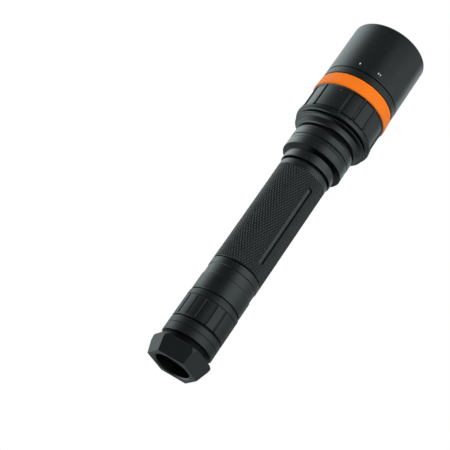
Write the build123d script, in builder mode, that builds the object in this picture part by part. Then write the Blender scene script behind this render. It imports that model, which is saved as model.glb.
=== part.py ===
"""Tactical flashlight with a rotary output selector ring.

The beam axis is Z. The tail crown stands on Z = 0 and the lens faces +Z.
Angles round the axis (phi) are measured from -Y towards +X, which is
right-handed about +Z. All sizes are millimetres.
"""
from build123d import *
import os
from math import sin, cos, radians, sqrt, pi

os.makedirs("parts", exist_ok=True)

# ---------------------------------------------------------------- dimensions
# overall
length = 202.8            # crown to bezel
bell_r = 20.1             # bell outside radius
tube_r = 13.05            # battery tube outside radius
bore_r = 9.5              # battery tube bore

# bell and optics
bell_z0 = 172.25
bell_bore_r = 18.65
bell_lip_r = 17.6
bell_lip_z = 201.2
spigot_r = 18.6           # core spigot the bell screws on
spigot_z = 181.0
lens_z0, lens_z1, lens_r = 198.3, 200.3, 18.5
refl_focus = 2.98
refl_vertex_z = 172.35
refl_base_z = 172.6
refl_rim_z = 198.2
refl_wall = 0.9
led_z = 171.6

# head core
collar_z0, collar_z1 = 168.0, 171.75
shelf_z0, shelf_z1 = 165.0, 170.0
spindle_r = 16.85         # the selector ring runs on this
spindle_z0 = 140.0
lip_land_r = 14.55        # rear lip of the selector runs on this
core_tail_r = 14.2
core_tail_z = 123.3
core_bore_r = 12.0

# selector ring
sel_z0, sel_z1 = 137.3, 167.85
sel_bore_r = 16.9
sel_lip_bore_r = 14.6
sel_seat_r = 19.0
sel_rib_r = 20.17
sel_panel_r = 19.68
panel_z0, panel_z1 = 145.0, 159.75
band_z0, band_z1 = 159.8, 167.8
rib_width = 1.05
# rib positions round the ring, degrees of phi
rib_phi = [-78.8, -53.4, -9.7, 11.2, 32.5, 76.7, 99.7, 122.7, 166.7, 188.7, 211.7, 255.7]
selector_travel = 32.0    # degrees between the low and high stops
index_phi = -28.0         # index dot on the ring, at the low mark

# neck
ret_z0, ret_z1 = 130.75, 136.3
sleeve_z0 = 117.8
sleeve_web_z = 123.2         # the head core's tail stops above this web

# battery tube and cells
tube_z0, tube_z1 = 25.0, 157.5
thread_r = 11.93          # male thread crest at both ends
thread_root_r = 11.4
thread_pitch = 1.0
cell_r, cell_len = 9.15, 65.0
rear_cell_z = 26.0
front_cell_z = rear_cell_z + cell_len
slot_phi = [29.75, 149.75, 269.75]
slot_z0, slot_z1, slot_w, slot_depth = 61.07, 107.23, 2.73, 1.05
slot_corner = 0.6         # corner radius of the flat-floored slots

# tail
cap_z1 = 35.1
cap_r = 13.3
cap_thread_bore_r = 12.0
crown_r = 15.2
crown_z1 = 8.7
crown_land_phi = 13.0     # one land between facets
facet_meet_z = 6.2        # below this the facets meet in edges
facet_slope = 0.29
button_travel = 1.5


# ------------------------------------------------------------------- helpers
def around(phi, z=0.0):
    """Plane through the axis at angle phi: local x is radial, local y is Z."""
    p = radians(phi)
    return Plane(origin=(0, 0, z), x_dir=(sin(p), -cos(p), 0), z_dir=(-cos(p), -sin(p), 0))


def radial(phi, r, z):
    """Plane facing outwards along the radius at angle phi, centred at r, z."""
    p = radians(phi)
    return Plane(origin=(r * sin(p), -r * cos(p), z), x_dir=(cos(p), sin(p), 0), z_dir=(sin(p), -cos(p), 0))


def sector(points, phi0, phi1, mode=Mode.ADD):
    """Turn an r-z outline about the axis from angle phi0 to phi1."""
    with BuildSketch(around(phi0)) as outline:
        with BuildLine():
            Polyline(*points, close=True)
        make_face()
    return revolve(outline.sketch, axis=Axis.Z, revolution_arc=phi1 - phi0, mode=mode)


def turned(points, mode=Mode.ADD):
    """Turn an r-z outline all the way round the axis."""
    with BuildSketch(around(0)) as outline:
        with BuildLine():
            Polyline(*points, close=True)
        make_face()
    return revolve(outline.sketch, axis=Axis.Z, mode=mode)


def thread_outline(crest, root, z0, z1, pitch):
    """Outline points, upwards, of a rank of thread ridges between z0 and z1."""
    pts = []
    n = int(round((z1 - z0) / pitch))
    for i in range(n):
        z = z0 + i * pitch
        pts += [(root, z + 0.05 * pitch), (crest, z + 0.42 * pitch),
                (crest, z + 0.58 * pitch), (root, z + 0.95 * pitch)]
    return pts


def done(name, label):
    name.part.label = label
    export_step(name.part, "parts/" + label + ".step")


# ============================================================ head, fixed body
# Bell: a plain cylinder with a rounded rim and a small lip that holds the lens.
with BuildPart() as bell_housing:
    turned([(bell_bore_r, bell_z0), (bell_r - 0.2, bell_z0), (bell_r, bell_z0 + 0.2), (bell_r, 202.0),
            (19.85, 202.45), (19.4, 202.72), (18.9, 202.8), (18.4, 202.8), (bell_lip_r, 202.0),
            (bell_lip_r, bell_lip_z), (bell_bore_r, bell_lip_z)])
done(bell_housing, "bell_housing")

# Lens: flat toughened disc with small edge chamfers.
with BuildPart() as front_lens:
    with BuildSketch(Plane.XY.offset(lens_z0)):
        Circle(lens_r)
    extrude(amount=lens_z1 - lens_z0)
    chamfer(front_lens.edges().filter_by(GeomType.CIRCLE), 0.25)
done(front_lens, "front_lens")

# Lens seal: round-section ring between lens and bell lip.
with BuildPart() as lens_o_ring:
    with BuildSketch(around(0)):
        with Locations((18.12, lens_z1 + 0.45)):
            Circle(0.44)
    revolve(axis=Axis.Z)
done(lens_o_ring, "lens_o_ring")

# Reflector: spun parabolic cup with a rim flange under the lens.
refl_pts_in = []
for i in range(15):
    zz = refl_base_z + 0.9 + (refl_rim_z - refl_base_z - 0.9) * (i / 14.0) ** 1.6
    refl_pts_in.append((sqrt(4 * refl_focus * (zz - refl_vertex_z)), zz))
refl_pts_out = []
for i in range(15):
    zz = refl_base_z + (refl_rim_z - 1.2 - refl_base_z) * (i / 14.0) ** 1.6
    refl_pts_out.append((sqrt(4 * refl_focus * (zz - refl_vertex_z + 0.9)) + refl_wall, zz))
with BuildPart() as reflector:
    with BuildSketch(around(0)):
        with BuildLine():
            Spline(*refl_pts_in)
            Polyline(refl_pts_in[-1], (18.5, refl_rim_z), (18.5, refl_rim_z - 1.2), refl_pts_out[-1])
            Spline(*reversed(refl_pts_out))
            Polyline(refl_pts_out[0], (3.7, refl_base_z), (refl_pts_in[0][0], refl_pts_in[0][1]))
        make_face()
    revolve(axis=Axis.Z)
done(reflector, "reflector")

# Centring gasket: insulating ring that locates the reflector round the emitter.
with BuildPart() as led_centering_gasket:
    with BuildSketch(Plane.XY.offset(led_z)):
        Circle(5.2)
        Rectangle(5.2, 5.2, mode=Mode.SUBTRACT)
    extrude(amount=refl_base_z - led_z - 0.02)
done(led_centering_gasket, "led_centering_gasket")

# Emitter: square ceramic base with a clear dome.
with BuildPart() as led_emitter:
    with BuildSketch(Plane.XY.offset(led_z)):
        RectangleRounded(5.0, 5.0, 0.2)
    extrude(amount=0.7)
    with BuildSketch(around(0)):
        with BuildLine():
            Line((0, led_z + 0.6), (2.2, led_z + 0.6))
            RadiusArc((2.2, led_z + 0.7), (0, led_z + 2.9), -2.2)
            Line((2.2, led_z + 0.6), (2.2, led_z + 0.7))
            Line((0, led_z + 2.9), (0, led_z + 0.6))
        make_face()
    revolve(axis=Axis.Z)
done(led_emitter, "led_emitter")

# Emitter board: round metal-core board with wire holes and two screw holes.
with BuildPart() as led_board:
    with BuildSketch(Plane.XY.offset(shelf_z1)):
        Circle(13.0)
        with Locations((10.6, 0), (-10.6, 0)):
            Circle(1.0, mode=Mode.SUBTRACT)
        with Locations((0, 9.0), (0, -9.0)):
            Circle(1.05, mode=Mode.SUBTRACT)
    extrude(amount=led_z - shelf_z1)
done(led_board, "led_board")

# Two pan-head screws that hold the board on the shelf.
with BuildPart() as led_board_screws:
    for y in (9.0, -9.0):
        with BuildSketch(Plane.XY.offset(led_z)):
            with Locations((0, y)):
                Circle(1.85)
        extrude(amount=1.2)
        with BuildSketch(Plane.XY.offset(led_z)):
            with Locations((0, y)):
                Circle(0.95)
        extrude(amount=-5.2)
        with BuildSketch(Plane.XY.offset(led_z + 1.2)):
            with Locations((0, y)):
                Rectangle(2.2, 0.45)
                Rectangle(0.45, 2.2)
        extrude(amount=-0.6, mode=Mode.SUBTRACT)
done(led_board_screws, "led_board_screws")

# Head core: heat sink, spindle of the selector ring and battery tube socket.
with BuildPart() as head_core:
    turned([(0, shelf_z0), (core_bore_r, shelf_z0), (core_bore_r, core_tail_z)]
           + [(core_tail_r - 0.45, core_tail_z), (core_tail_r - 0.45, core_tail_z + 0.2)]
           + thread_outline(core_tail_r, core_tail_r - 0.45, core_tail_z + 0.3, ret_z1 - 1.0, thread_pitch)
           + [(core_tail_r - 0.3, ret_z1 - 0.6), (core_tail_r - 0.3, ret_z1), (lip_land_r, ret_z1),
              (lip_land_r, spindle_z0), (spindle_r - 0.3, spindle_z0), (spindle_r, spindle_z0 + 0.3),
              # groove of the lower selector seal
              (spindle_r, 141.4), (15.95, 141.4), (15.95, 142.6), (spindle_r, 142.6),
              # groove of the upper selector seal
              (spindle_r, 165.0), (15.95, 165.0), (15.95, 166.2), (spindle_r, 166.2),
              (spindle_r, collar_z0), (19.9, collar_z0), (bell_r, collar_z0 + 0.2),
              (bell_r, collar_z1 - 0.2), (19.9, collar_z1), (18.0, collar_z1), (18.0, 172.6),
              # groove of the bell seal
              (17.55, 172.6), (17.55, 173.8), (18.1, 173.8)]
           + thread_outline(spigot_r, spigot_r - 0.45, 174.0, 180.0, thread_pitch)
           + [(18.1, spigot_z - 0.5), (17.8, spigot_z), (15.8, spigot_z), (15.8, shelf_z1), (0, shelf_z1)])
    # wire holes and screw holes through the shelf
    with BuildSketch(Plane.XY.offset(shelf_z0)):
        with Locations((10.6, 0), (-10.6, 0)):
            Circle(1.0)
    extrude(amount=shelf_z1 - shelf_z0, mode=Mode.SUBTRACT)
    with BuildSketch(Plane.XY.offset(shelf_z1)):
        with Locations((0, 9.0), (0, -9.0)):
            Circle(1.0)
    extrude(amount=-3.9, mode=Mode.SUBTRACT)
    # arc slot that the travel-stop pin runs in, at the back of the spindle
    sector([(15.2, 148.9), (18.0, 148.9), (18.0, 151.1), (15.2, 151.1)],
           180 - 3.9, 180 + selector_travel + 3.9, mode=Mode.SUBTRACT)
    # radial pocket of the detent ball and its spring
    with BuildSketch(radial(90, 13.2, 155.0)):
        Circle(1.3)
    extrude(amount=5.0, mode=Mode.SUBTRACT)
done(head_core, "head_core")

# Leads from the driver up through the shelf to the emitter board.
with BuildPart() as led_wires:
    for s in (1, -1):
        with BuildLine():
            FilletPolyline((s * 10.6, 0, 162.65), (s * 10.6, 0, 172.2), (s * 7.6, 0, 172.2), radius=0.9)
        with BuildSketch(Plane.XY.offset(162.65)):
            with Locations((s * 10.6, 0)):
                Circle(0.55)
        sweep()
done(led_wires, "led_wires")

# Driver board in its pocket.
with BuildPart() as driver_board:
    with BuildSketch(Plane.XY.offset(161.0)):
        Circle(11.9)
        with Locations((10.6, 0), (-10.6, 0)):
            Circle(0.3, mode=Mode.SUBTRACT)
    extrude(amount=1.6)
done(driver_board, "driver_board")

# Surface parts of the driver: inductor, controller, two transistors, capacitors.
with BuildPart() as driver_components:
    for (x, y, w, d, h) in ((-3.6, 2.6, 5.6, 5.6, 2.2), (3.2, 3.4, 4.6, 4.6, 0.9), (3.4, -2.8, 3.2, 3.6, 1.0),
                            (-1.6, -3.6, 2.6, 3.2, 1.0), (-5.6, -3.4, 1.2, 2.2, 0.9), (6.9, 0.2, 1.2, 2.2, 0.9)):
        with BuildSketch(Plane.XY.offset(162.6)):
            with Locations((x, y)):
                RectangleRounded(w, d, 0.15)
        extrude(amount=h)
done(driver_components, "driver_components")

# Hall sensor that reads the selector magnet through the core wall.
hp = radians(index_phi)
with BuildPart() as hall_sensor:
    with BuildSketch(Plane(origin=(9.7 * sin(hp), -9.7 * cos(hp), 162.6), x_dir=(cos(hp), sin(hp), 0), z_dir=(0, 0, 1))):
        RectangleRounded(3.0, 1.7, 0.1)
    extrude(amount=1.2)
done(hall_sensor, "hall_sensor")

# Threaded ring that presses the driver board up against its shelf.
with BuildPart() as driver_retaining_ring:
    turned([(9.6, 158.8), (11.7, 158.8), (11.97, 159.1), (11.97, 160.8), (11.9, 160.98), (9.6, 160.98)])
    for a in (0, 180):
        with BuildSketch(radial(a, 10.6, 159.2)):
            Rectangle(1.6, 1.2)
        extrude(amount=2.0, both=True, mode=Mode.SUBTRACT)
done(driver_retaining_ring, "driver_retaining_ring")

# Contact spring between driver board and front cell.
with BuildPart() as positive_contact_spring:
    with BuildSketch(Plane.XY.offset(160.55)):
        Circle(3.4)
        Circle(1.5, mode=Mode.SUBTRACT)
    extrude(amount=0.43)
    with BuildLine():
        Helix(pitch=1.35, height=4.0, radius=2.9, center=(0, 0, 156.45))
    with BuildSketch(Plane(origin=(2.9, 0, 156.45), x_dir=(1, 0, 0), z_dir=(0, 1, 0.07))):
        Circle(0.4)
    sweep(is_frenet=True)
done(positive_contact_spring, "positive_contact_spring")

# Seals.
with BuildPart() as bell_o_ring:
    with BuildSketch(around(0)):
        with Locations((18.08, 173.2)):
            Circle(0.52)
    revolve(axis=Axis.Z)
done(bell_o_ring, "bell_o_ring")

with BuildPart() as selector_seal_upper:
    with BuildSketch(around(0)):
        with Locations((16.42, 165.6)):
            Circle(0.45)
    revolve(axis=Axis.Z)
done(selector_seal_upper, "selector_seal_upper")

with BuildPart() as selector_seal_lower:
    with BuildSketch(around(0)):
        with Locations((16.42, 142.0)):
            Circle(0.45)
    revolve(axis=Axis.Z)
done(selector_seal_lower, "selector_seal_lower")

# Detent ball and its spring, at the +X side of the spindle.
with BuildPart() as detent_ball:
    with BuildSketch(Plane(origin=(16.0, 0, 155.0), x_dir=(1, 0, 0), z_dir=(0, -1, 0))):
        with BuildLine():
            Line((-1.2, 0), (1.2, 0))
            RadiusArc((1.2, 0), (-1.2, 0), 1.2)
        make_face()
    revolve(axis=Axis(origin=(16.0, 0, 155.0), direction=(1, 0, 0)))
done(detent_ball, "detent_ball")

with BuildPart() as detent_spring:
    with BuildLine():
        Helix(pitch=0.42, height=1.1, radius=0.85, center=(13.45, 0, 155.0), direction=(1, 0, 0))
    hs = detent_spring.pending_edges[0] if detent_spring.pending_edges else None
    with BuildSketch(Plane(origin=hs @ 0, z_dir=hs % 0)):
        Circle(0.16)
    sweep(is_frenet=True)
done(detent_spring, "detent_spring")

# Thrust washer behind the selector ring.
with BuildPart() as thrust_washer:
    turned([(14.6, ret_z1 + 0.05), (15.25, ret_z1 + 0.05), (15.25, sel_z0 - 0.05), (14.6, sel_z0 - 0.05)])
done(thrust_washer, "thrust_washer")

# Neck ring that holds the selector ring on its spindle.
with BuildPart() as ring_retainer:
    turned([(14.25, ret_z0), (15.85, ret_z0), (16.1, ret_z0 + 0.25), (16.1, 132.2), (15.95, 133.6),
            (15.93, 134.35), (15.78, 134.42), (15.78, 134.58), (15.9, 134.65), (15.76, 135.6),
            (15.5, 136.1), (15.2, ret_z1), (14.25, ret_z1)])
done(ring_retainer, "ring_retainer")

# Neck sleeve: flared skirt stepping down to the tube.
with BuildPart() as neck_sleeve:
    turned([(12.62, sleeve_z0), (13.4, sleeve_z0), (13.6, sleeve_z0 + 0.25), (13.6, 122.25), (15.9, 123.1), (16.1, 123.4), (16.1, 124.6), (16.05, 126.2), (15.86, 128.1),
            (15.72, 128.2), (15.72, 128.4), (15.84, 128.5), (15.8, 130.3), (15.6, 130.6),
            (14.25, 130.6), (14.25, sleeve_web_z), (12.62, sleeve_web_z)])
done(neck_sleeve, "neck_sleeve")

# Seal ring in the gap between neck and tube.
with BuildPart() as head_joint_o_ring:
    with BuildSketch(around(0)):
        with Locations((12.02, 117.03)):
            Circle(0.62)
    revolve(axis=Axis.Z)
done(head_joint_o_ring, "head_joint_o_ring")

# Battery tube: threaded at both ends, knurled grip with three long flutes.
with BuildPart() as body_tube:
    turned([(bore_r, tube_z0), (11.2, tube_z0), (thread_root_r, tube_z0 + 0.2)]
           + thread_outline(thread_r, thread_root_r, 25.4, 32.4, thread_pitch)
           + [(thread_root_r, 32.5), (11.93, 32.7), (11.93, 32.9),
              # groove of the tail seal
              (11.0, 32.9), (11.0, 34.4), (11.93, 34.4), (11.93, 35.2), (12.5, 36.1),
              (12.8, 36.15), (tube_r, 36.4), (tube_r, 45.2), (12.75, 45.5), (12.75, 50.6), (tube_r, 50.8),
              (tube_r, 54.2), (12.6, 54.3), (12.6, 54.9), (tube_r, 55.0), (tube_r, 113.5), (tube_r, 116.1),
              (12.85, 116.3), (11.4, 116.3), (11.4, 117.75), (11.93, 117.75), (11.93, 122.6)]
           + [(thread_root_r, 122.9)]
           + thread_outline(thread_r, thread_root_r, 123.0, 130.0, thread_pitch)
           + [(11.93, 130.4), (11.93, tube_z1 - 0.3), (11.6, tube_z1), (bore_r, tube_z1)])
    # long flat-floored flutes
    for a in slot_phi:
        with BuildSketch(radial(a, tube_r - slot_depth, (slot_z0 + slot_z1) / 2)):
            RectangleRounded(slot_w, slot_z1 - slot_z0, slot_corner)
        extrude(amount=slot_depth + 1.5, mode=Mode.SUBTRACT)
done(body_tube, "body_tube")


# Cells: steel can, rolled shoulder, insulating washer and positive button.
def cell_outline(z0):
    return [(0, z0), (8.6, z0), (cell_r, z0 + 0.5), (cell_r, z0 + cell_len - 3.9), (cell_r - 0.35, z0 + cell_len - 3.5),
            (cell_r - 0.35, z0 + cell_len - 2.9), (cell_r, z0 + cell_len - 2.5), (cell_r, z0 + cell_len - 1.3),
            (8.6, z0 + cell_len - 0.9), (3.6, z0 + cell_len - 0.9), (3.4, z0 + cell_len - 0.02), (0, z0 + cell_len - 0.02)]


with BuildPart() as front_cell:
    turned(cell_outline(front_cell_z))
done(front_cell, "front_cell")

with BuildPart() as rear_cell:
    turned(cell_outline(rear_cell_z))
done(rear_cell, "rear_cell")

# Seal ring of the tail joint.
with BuildPart() as tail_o_ring:
    with BuildSketch(around(0)):
        with Locations((11.62, 33.65)):
            Circle(0.58)
    revolve(axis=Axis.Z)
done(tail_o_ring, "tail_o_ring")

# ============================================================== selector body
# Selector ring: fluted grip, flanged skirt and a seat for the coloured band.
with BuildPart() as selector_ring:
    with BuildSketch(around(0)):
        with BuildLine():
            Polyline((sel_lip_bore_r, sel_z0), (sel_lip_bore_r, spindle_z0 - 0.1), (sel_bore_r, spindle_z0 - 0.1),
                     (sel_bore_r, sel_z1), (sel_seat_r, sel_z1), (sel_seat_r, band_z0), (19.95, band_z0),
                     (sel_rib_r, band_z0 - 0.25), (sel_rib_r, 147.6))
            Spline((sel_rib_r, 147.6), (20.43, 146.4), (20.58, 145.3), (20.5, 144.4), (20.25, 143.7), (19.95, 143.22),
                   (19.4, 142.85))
            # groove under the lip, then the tapered flange
            Polyline((19.4, 142.85), (18.3, 142.5), (18.3, 141.75), (19.1, 141.65), (19.3, 141.5), (19.3, 141.2), (18.9, 140.9),
                     (17.65, 140.15), (17.45, 139.6), (17.1, 138.6), (16.55, 137.65), (16.1, sel_z0 + 0.1), (15.95, sel_z0),
                     (sel_lip_bore_r, sel_z0))
        make_face()
    revolve(axis=Axis.Z)
    # recessed panels between the grip ribs
    half = rib_width / sel_rib_r * 90 / pi
    for i, a in enumerate(rib_phi):
        b = rib_phi[(i + 1) % len(rib_phi)] + (360 if i == len(rib_phi) - 1 else 0)
        sector([(sel_panel_r, panel_z0), (21.5, panel_z0), (21.5, panel_z1 - 0.3), (sel_panel_r, panel_z1 - 0.3)],
               a + half, b - half, mode=Mode.SUBTRACT)
    # hole of the travel-stop pin
    with BuildSketch(radial(180, 16.0, 150.0)):
        Circle(1.0)
    extrude(amount=3.2, mode=Mode.SUBTRACT)
    # pocket of the selector magnet
    with BuildSketch(radial(index_phi, 16.5, 162.8)):
        Circle(1.52)
    extrude(amount=2.3, mode=Mode.SUBTRACT)
    # detent track milled inside the ring
    sector([(16.5, 154.2), (17.0, 154.2), (17.28, 154.6), (17.28, 155.4), (17.0, 155.8), (16.5, 155.8)],
           90 - selector_travel - 4, 90 + 4, mode=Mode.SUBTRACT)
done(selector_ring, "selector_ring")

# Coloured band: moulded ring, domed shoulder, slightly flared skirt.
with BuildPart() as indicator_band:
    with BuildSketch(around(0)):
        with BuildLine():
            Polyline((sel_seat_r + 0.02, band_z0 + 0.02), (sel_seat_r + 0.02, band_z1), (19.3, band_z1))
            Spline((19.3, band_z1), (19.85, band_z1 - 0.2), (20.15, band_z1 - 0.8), (20.25, band_z1 - 1.8),
                   (20.4, 163.6), (20.56, 161.4), (20.55, 160.7), (20.3, 160.15), (19.75, band_z0 + 0.02))
            Line((19.75, band_z0 + 0.02), (sel_seat_r + 0.02, band_z0 + 0.02))
        make_face()
    revolve(axis=Axis.Z)
done(indicator_band, "indicator_band")

with BuildPart() as selector_magnet:
    with BuildSketch(radial(index_phi, 17.0, 162.8)):
        Circle(1.5)
    extrude(amount=1.78)
done(selector_magnet, "selector_magnet")

with BuildPart() as travel_stop_pin:
    with BuildSketch(radial(180, 15.4, 150.0)):
        Circle(0.98)
    extrude(amount=3.75)
done(travel_stop_pin, "travel_stop_pin")

# ================================================================== tail body
# Tail cap: fluted grip bands, deep groove and a six-sided tapered crown.
with BuildPart() as tail_cap:
    turned([(9.4, 0.0), (crown_r, 0.0), (crown_r, crown_z1 - 0.35), (crown_r - 0.4, crown_z1), (12.0, crown_z1),
            (12.0, 12.0), (13.05, 12.0), (cap_r, 12.3), (cap_r, 15.85), (13.05, 15.95), (13.05, 16.2), (cap_r, 16.3),
            (cap_r, 19.35), (13.05, 19.6), (12.75, 19.6), (12.75, 20.5), (13.05, 20.5), (cap_r, 20.75),
            (cap_r, 31.8), (13.0, 31.9), (13.0, 32.15), (cap_r, 32.25), (cap_r, 34.8), (13.0, cap_z1),
            (12.35, cap_z1), (12.25, 34.9), (12.25, 31.9), (cap_thread_bore_r, 31.6), (cap_thread_bore_r, 20.0),
            (10.65, 20.0), (10.65, 9.2), (8.1, 9.2), (8.1, 8.0), (9.0, 8.0), (9.0, 0.5)])
    # lengthwise grip flutes
    for i in range(16):
        with BuildSketch(radial(3.6 + 22.5 * i, cap_r - 0.5, 26.2)):
            SlotOverall(11.4, 1.3, rotation=90)
        extrude(amount=1.5, mode=Mode.SUBTRACT)
    # six sloping facets; narrow lands of the full crown are left between them near its top edge
    for i in range(6):
        with BuildSketch(around(crown_land_phi + 30 + 60 * i)):
            with BuildLine():
                Polyline((crown_r * cos(radians(30)) - facet_slope * (facet_meet_z + 1.0), -1.0), (18.0, -1.0), (18.0, 10.4),
                         (crown_r * cos(radians(30)) + facet_slope * (10.4 - facet_meet_z), 10.4), close=True)
            make_face()
        extrude(amount=12.0, both=True, mode=Mode.SUBTRACT)
done(tail_cap, "tail_cap")

# Rubber switch boot: domed cover with a clamped flange.
with BuildPart() as switch_boot:
    with BuildSketch(around(0)):
        with BuildLine():
            Polyline((6.9, 10.4), (10.55, 10.4), (10.55, 9.25), (8.0, 9.25), (8.0, 5.4))
            Spline((8.0, 5.4), (7.75, 4.8), (7.0, 4.45), (4.0, 4.2), (0, 4.15))
            Polyline((0, 4.15), (0, 5.3), (6.6, 5.7), (6.9, 6.2), (6.9, 10.4))
        make_face()
    revolve(axis=Axis.Z)
done(switch_boot, "switch_boot")

with BuildPart() as boot_washer:
    turned([(6.95, 10.45), (10.6, 10.45), (10.6, 11.2), (6.95, 11.2)])
done(boot_washer, "boot_washer")

# Switch housing: moulded body with the plunger bore.
with BuildPart() as switch_housing:
    turned([(4.05, 11.25), (9.6, 11.25), (10.6, 11.8), (10.6, 17.2), (9.9, 17.2), (9.9, 18.35), (0, 18.35), (0, 16.6),
            (4.05, 16.6)])
    for a in (45, 135, 225, 315):
        with BuildSketch(radial(a, 9.4, 14.2)):
            Rectangle(2.4, 4.2)
        extrude(amount=2.0, mode=Mode.SUBTRACT)
done(switch_housing, "switch_housing")

with BuildPart() as switch_board:
    with BuildSketch(Plane.XY.offset(18.4)):
        Circle(10.55)
    extrude(amount=1.55)
done(switch_board, "switch_board")

with BuildPart() as switch_retaining_ring:
    turned([(7.8, 20.05), (11.6, 20.05), (11.95, 20.4), (11.95, 21.9), (11.6, 22.3), (7.8, 22.3)])
    for a in (0, 180):
        with BuildSketch(radial(a, 9.4, 21.9)):
            Rectangle(1.6, 1.4)
        extrude(amount=2.2, both=True, mode=Mode.SUBTRACT)
done(switch_retaining_ring, "switch_retaining_ring")

# Contact spring between switch board and rear cell.
with BuildPart() as tail_contact_spring:
    with BuildSketch(Plane.XY.offset(19.98)):
        Circle(5.2)
        Circle(2.0, mode=Mode.SUBTRACT)
    extrude(amount=0.5)
    with BuildLine():
        Helix(pitch=1.5, height=5.1, radius=4.0, center=(0, 0, 20.42))
    with BuildSketch(Plane(origin=(4.0, 0, 20.42), x_dir=(1, 0, 0), z_dir=(0, 1, 0.06))):
        Circle(0.42)
    sweep(is_frenet=True)
done(tail_contact_spring, "tail_contact_spring")

# Switch plunger and return spring.
with BuildPart() as switch_plunger:
    turned([(0, 5.75), (4.2, 5.95), (5.6, 6.3), (5.9, 6.7), (5.9, 7.6), (4.0, 8.2), (4.0, 12.9), (3.7, 13.2), (0, 13.2)])
done(switch_plunger, "switch_plunger")

with BuildPart() as plunger_spring:
    with BuildLine():
        Helix(pitch=0.85, height=2.7, radius=2.6, center=(0, 0, 13.55))
    with BuildSketch(Plane(origin=(2.6, 0, 13.55), x_dir=(1, 0, 0), z_dir=(0, 1, 0.05))):
        Circle(0.3)
    sweep(is_frenet=True)
done(plunger_spring, "plunger_spring")
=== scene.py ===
import bpy, bmesh, math
import numpy as np
from math import sin, cos, radians, sqrt, pi, atan2
from mathutils import Vector, Matrix


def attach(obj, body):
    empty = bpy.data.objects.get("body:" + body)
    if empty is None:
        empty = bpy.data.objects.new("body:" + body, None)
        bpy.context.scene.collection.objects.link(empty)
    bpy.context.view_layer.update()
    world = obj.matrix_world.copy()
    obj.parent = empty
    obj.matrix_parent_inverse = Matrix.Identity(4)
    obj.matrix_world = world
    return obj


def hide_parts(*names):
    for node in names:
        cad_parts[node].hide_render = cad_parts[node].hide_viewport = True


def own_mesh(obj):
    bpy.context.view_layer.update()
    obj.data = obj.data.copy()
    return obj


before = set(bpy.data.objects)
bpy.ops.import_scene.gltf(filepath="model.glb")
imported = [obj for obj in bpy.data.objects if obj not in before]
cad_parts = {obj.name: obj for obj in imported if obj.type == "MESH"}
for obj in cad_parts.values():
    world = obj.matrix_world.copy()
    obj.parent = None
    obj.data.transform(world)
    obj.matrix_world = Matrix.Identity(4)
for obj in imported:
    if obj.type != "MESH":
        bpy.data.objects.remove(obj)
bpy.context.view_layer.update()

MM = 0.001
TAU = 2 * pi

# ---------------------------------------------------------------------------
# sizes, in millimetres, as in the CAD model
# ---------------------------------------------------------------------------
TUBE_R = 13.05
CAP_R = 13.3
CROWN_R = 15.2
RIB_PHI = [-78.8, -54.4, -9.7, 11.2, 32.5, 76.7, 99.7, 122.7, 166.7, 188.7, 211.7, 255.7]
FLUTE_PHI = [28.25, 148.25, 268.25]
INDEX_PHI = -28.0


# ---------------------------------------------------------------------------
# mesh tools
# ---------------------------------------------------------------------------
def outline(pts, n=5):
    """Rounds an r-z polygon. pts are (r, z), (r, z, radius) or (r, z, radius, wear_and_painted_light). Returns rows of
    (r, z, wear_and_painted_light):
    it is 1 on rounded convex edges (rubbed edges), -1 in rounded hollows (painted shade) and 0 elsewhere. Long straight
    runs get support rows near their ends."""
    P = [(p[0], p[1], p[2] if len(p) > 2 else 0.0, p[3] if len(p) > 3 else None) for p in pts]
    N = len(P)
    area = sum(P[i][0] * P[(i + 1) % N][1] - P[(i + 1) % N][0] * P[i][1] for i in range(N))
    sgn = 1 if area > 0 else -1
    rows = []
    for k in range(N):
        p0, p1, p2 = P[k - 1], P[k], P[(k + 1) % N]
        a = np.array([p0[0] - p1[0], p0[1] - p1[1]], float)
        b = np.array([p2[0] - p1[0], p2[1] - p1[1]], float)
        la, lb = np.linalg.norm(a), np.linalg.norm(b)
        a /= la
        b /= lb
        cross = (-a[0]) * b[1] - (-a[1]) * b[0]
        convex = cross * sgn > 0
        turn = pi - math.acos(max(-1, min(1, float(a @ b))))
        rad = p1[2]
        if rad <= 0 or turn < 0.03:
            rows.append((p1[0], p1[1], p1[3] if p1[3] is not None else (0.55 if convex else -0.4) if turn > 0.35 else 0.0))
            continue
        d = min(rad * math.tan(turn / 2), 0.48 * la, 0.48 * lb)
        rr = d / math.tan(turn / 2)
        s = np.array(p1[:2]) + a * d
        e = np.array(p1[:2]) + b * d
        bis = (a + b) / np.linalg.norm(a + b)
        c = np.array(p1[:2]) + bis * (rr / cos(turn / 2))
        a0, a1 = atan2(*(s - c)[::-1]), atan2(*(e - c)[::-1])
        da = (a1 - a0 + pi) % TAU - pi
        m = max(2, int(math.ceil(n * turn / (pi / 2))))
        for i in range(m + 1):
            t = a0 + da * i / m
            w = sin(pi * i / m)
            rows.append((c[0] + rr * cos(t), c[1] + rr * sin(t), p1[3] if p1[3] is not None else w if convex else -w))
    out = []
    for k in range(len(rows)):
        r0, r1 = rows[k], rows[(k + 1) % len(rows)]
        out.append(r0)
        L = math.hypot(r1[0] - r0[0], r1[1] - r0[1])
        if L > 0.5:
            h = min(0.14, L * 0.2)
            for f in (h / L, 1 - h / L):
                out.append((r0[0] + (r1[0] - r0[0]) * f, r0[1] + (r1[1] - r0[1]) * f, r0[2] if r0[2] == r1[2] == -1 else 0.0))
    return out


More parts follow.
